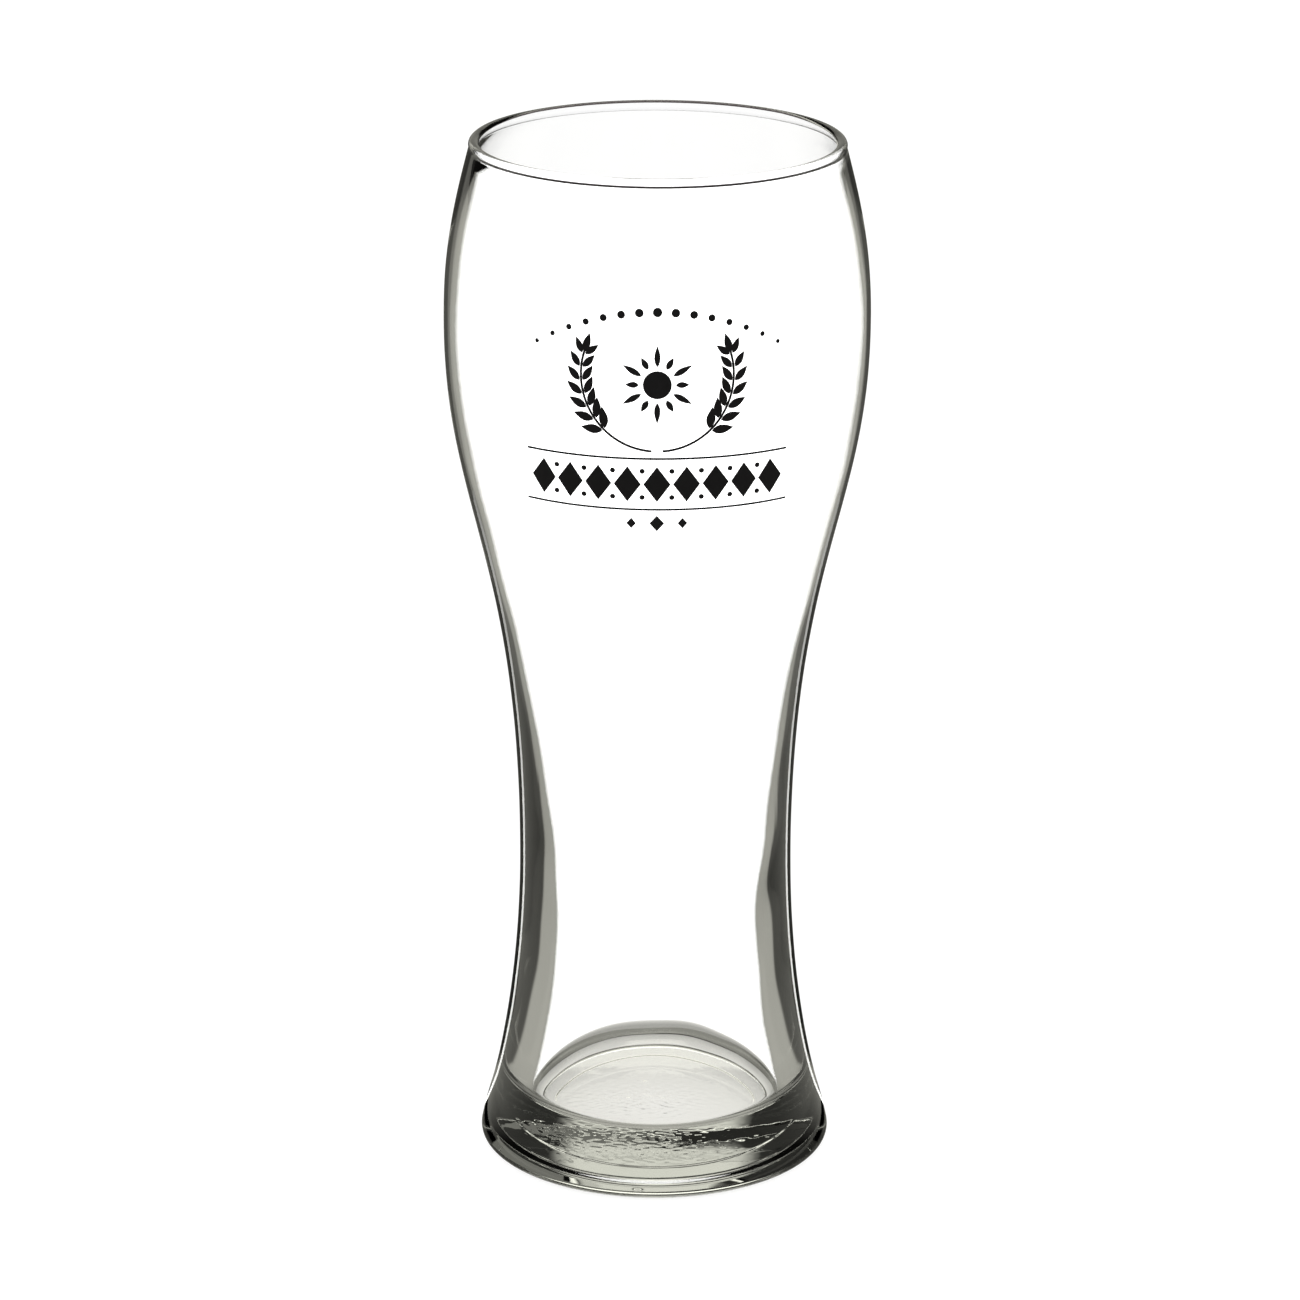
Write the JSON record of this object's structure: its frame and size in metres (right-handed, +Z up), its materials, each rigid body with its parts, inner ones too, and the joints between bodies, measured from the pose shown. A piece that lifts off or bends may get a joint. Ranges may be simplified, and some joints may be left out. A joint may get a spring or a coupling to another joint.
{
  "type": "wheat beer glass",
  "caption": "Tall waisted beer glass with a wide bowl, rounded rim, thick flared foot and a black printed wheat decoration on its front.",
  "frame": {"origin": "centre of the foot, on the table", "axes": "+Z up along the glass's axis, print faces -Y, +X to the right of someone looking at the print"},
  "size_m": [0.089, 0.0891, 0.222],
  "materials": {
    "glass": "clear polished soda-lime glass",
    "enamel": null
  },
  "bodies": {
    "root": {"glass": "glass", "print_arch": "enamel", "print_wheat_left": "enamel", "print_wheat_right": "enamel", "print_sun": "enamel", "print_rule_upper": "enamel", "print_lozenges": "enamel", "print_rule_lower": "enamel", "print_diamonds": "enamel"}
  },
  "joints": []
}
